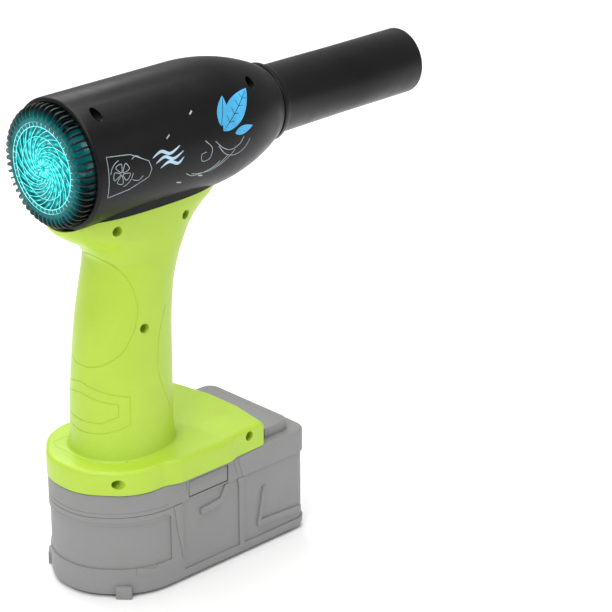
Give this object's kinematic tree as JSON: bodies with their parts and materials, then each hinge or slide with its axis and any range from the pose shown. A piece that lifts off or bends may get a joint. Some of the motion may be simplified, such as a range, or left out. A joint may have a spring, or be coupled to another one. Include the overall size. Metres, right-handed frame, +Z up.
{
  "type": "cordless leaf blower",
  "caption": "Pistol-grip cordless blower: round barrel with a ribbed rear intake, screw-on straight nozzle and a slide-on battery pack that it stands on.",
  "frame": {"origin": "middle of the battery pack's flat underside, on the surface that the blower stands on", "axes": "+X along the barrel towards the nozzle's open end, +Y to the user's left, +Z up"},
  "size_m": [0.2591, 0.0828, 0.277],
  "materials": {
    "satin_black": "satin black with soft highlights",
    "black_grille": "satin black",
    "teal_glow": "translucent bright teal, seen lit",
    "teal_plastic": "glossy teal",
    "dark_grey_plastic": "matt dark grey",
    "ground_steel": "ground",
    "magnet_steel": "nickel plated",
    "lamination_steel": "laminated",
    "copper_wire": "enamelled copper",
    "seal_rubber": "soft black",
    "lime_plastic": "satin lime green",
    "screw_steel": "dark zinc",
    "board_green": "solder mask",
    "component_black": "moulded",
    "contact_brass": "plain",
    "lead_red": "insulation",
    "grey_plastic": "satin mid grey",
    "cell_wrap": "shrink wrap",
    "nickel": "rolled"
  },
  "bodies": {
    "blower": {"barrel_right": "satin_black", "barrel_left": "satin_black", "barrel_screws": "screw_steel", "intake_grille": "black_grille", "swirl_guard": "teal_glow", "fan_duct": "dark_grey_plastic", "motor_stator": "lamination_steel", "motor_coils": "copper_wire", "motor_bearings": "ground_steel", "motor_cap": "dark_grey_plastic", "nozzle_socket": "satin_black", "handle_right": "lime_plastic", "handle_left": "lime_plastic", "handle_screws": "screw_steel", "trigger_spring": "ground_steel", "switch_body": "dark_grey_plastic", "controller_board": "board_green", "controller_parts": "component_black", "terminal_block": "dark_grey_plastic", "terminal_blades": "contact_brass", "leads": "lead_red"},
    "fan": {"impeller": "teal_plastic", "spinner": "teal_plastic", "motor_shaft": "ground_steel", "motor_magnet": "magnet_steel"},
    "nozzle_carrier": {"nozzle_seal": "seal_rubber"},
    "nozzle": {"nozzle_tube": "satin_black"},
    "trigger": {"trigger": "black_grille"},
    "pack": {"pack_cover": "grey_plastic", "pack_tray": "grey_plastic", "pack_cells": "cell_wrap", "cell_holder_right": "dark_grey_plastic", "cell_holder_left": "dark_grey_plastic", "cell_straps": "nickel", "pack_board": "board_green", "pack_contacts": "contact_brass", "pack_screws": "screw_steel", "latch_spring_right": "ground_steel", "latch_spring_left": "ground_steel"},
    "latch_right": {"latch_right": "grey_plastic"},
    "latch_left": {"latch_left": "grey_plastic"}
  },
  "joints": [
    {"name": "fan_spin", "type": "hinge", "parent": "blower", "child": "fan", "pos_m": [0, 0, 0.242], "axis": [1, 0, 0], "continuous": true},
    {"name": "nozzle_travel", "type": "slide", "parent": "blower", "child": "nozzle_carrier", "axis": [1, 0, 0], "range_m": [0, 0.0098]},
    {"name": "nozzle_turn", "type": "hinge", "parent": "nozzle_carrier", "child": "nozzle", "pos_m": [0.075, 0, 0.242], "axis": [1, 0, 0], "range_deg": [0, 1080]},
    {"name": "trigger_pull", "type": "slide", "parent": "blower", "child": "trigger", "axis": [-1, 0, 0], "range_m": [0, 0.004], "stiffness_N_per_m": 500, "springref_m": -0.002, "deforming": ["trigger_spring"]},
    {"name": "pack_release", "type": "slide", "parent": "blower", "child": "pack", "axis": [1, 0, 0], "range_m": [0, 0.11]},
    {"name": "latch_right_press", "type": "slide", "parent": "pack", "child": "latch_right", "axis": [0, 1, 0], "range_m": [0, 0.003], "stiffness_N_per_m": 800, "springref_m": -0.002, "deforming": ["latch_spring_right"]},
    {"name": "latch_left_press", "type": "slide", "parent": "pack", "child": "latch_left", "axis": [0, -1, 0], "range_m": [0, 0.003], "stiffness_N_per_m": 800, "springref_m": -0.002, "deforming": ["latch_spring_left"]}
  ],
  "couplings": [
    {"joint": "nozzle_travel", "follows": "nozzle_turn", "m_per_rad": 0.0005093}
  ]
}
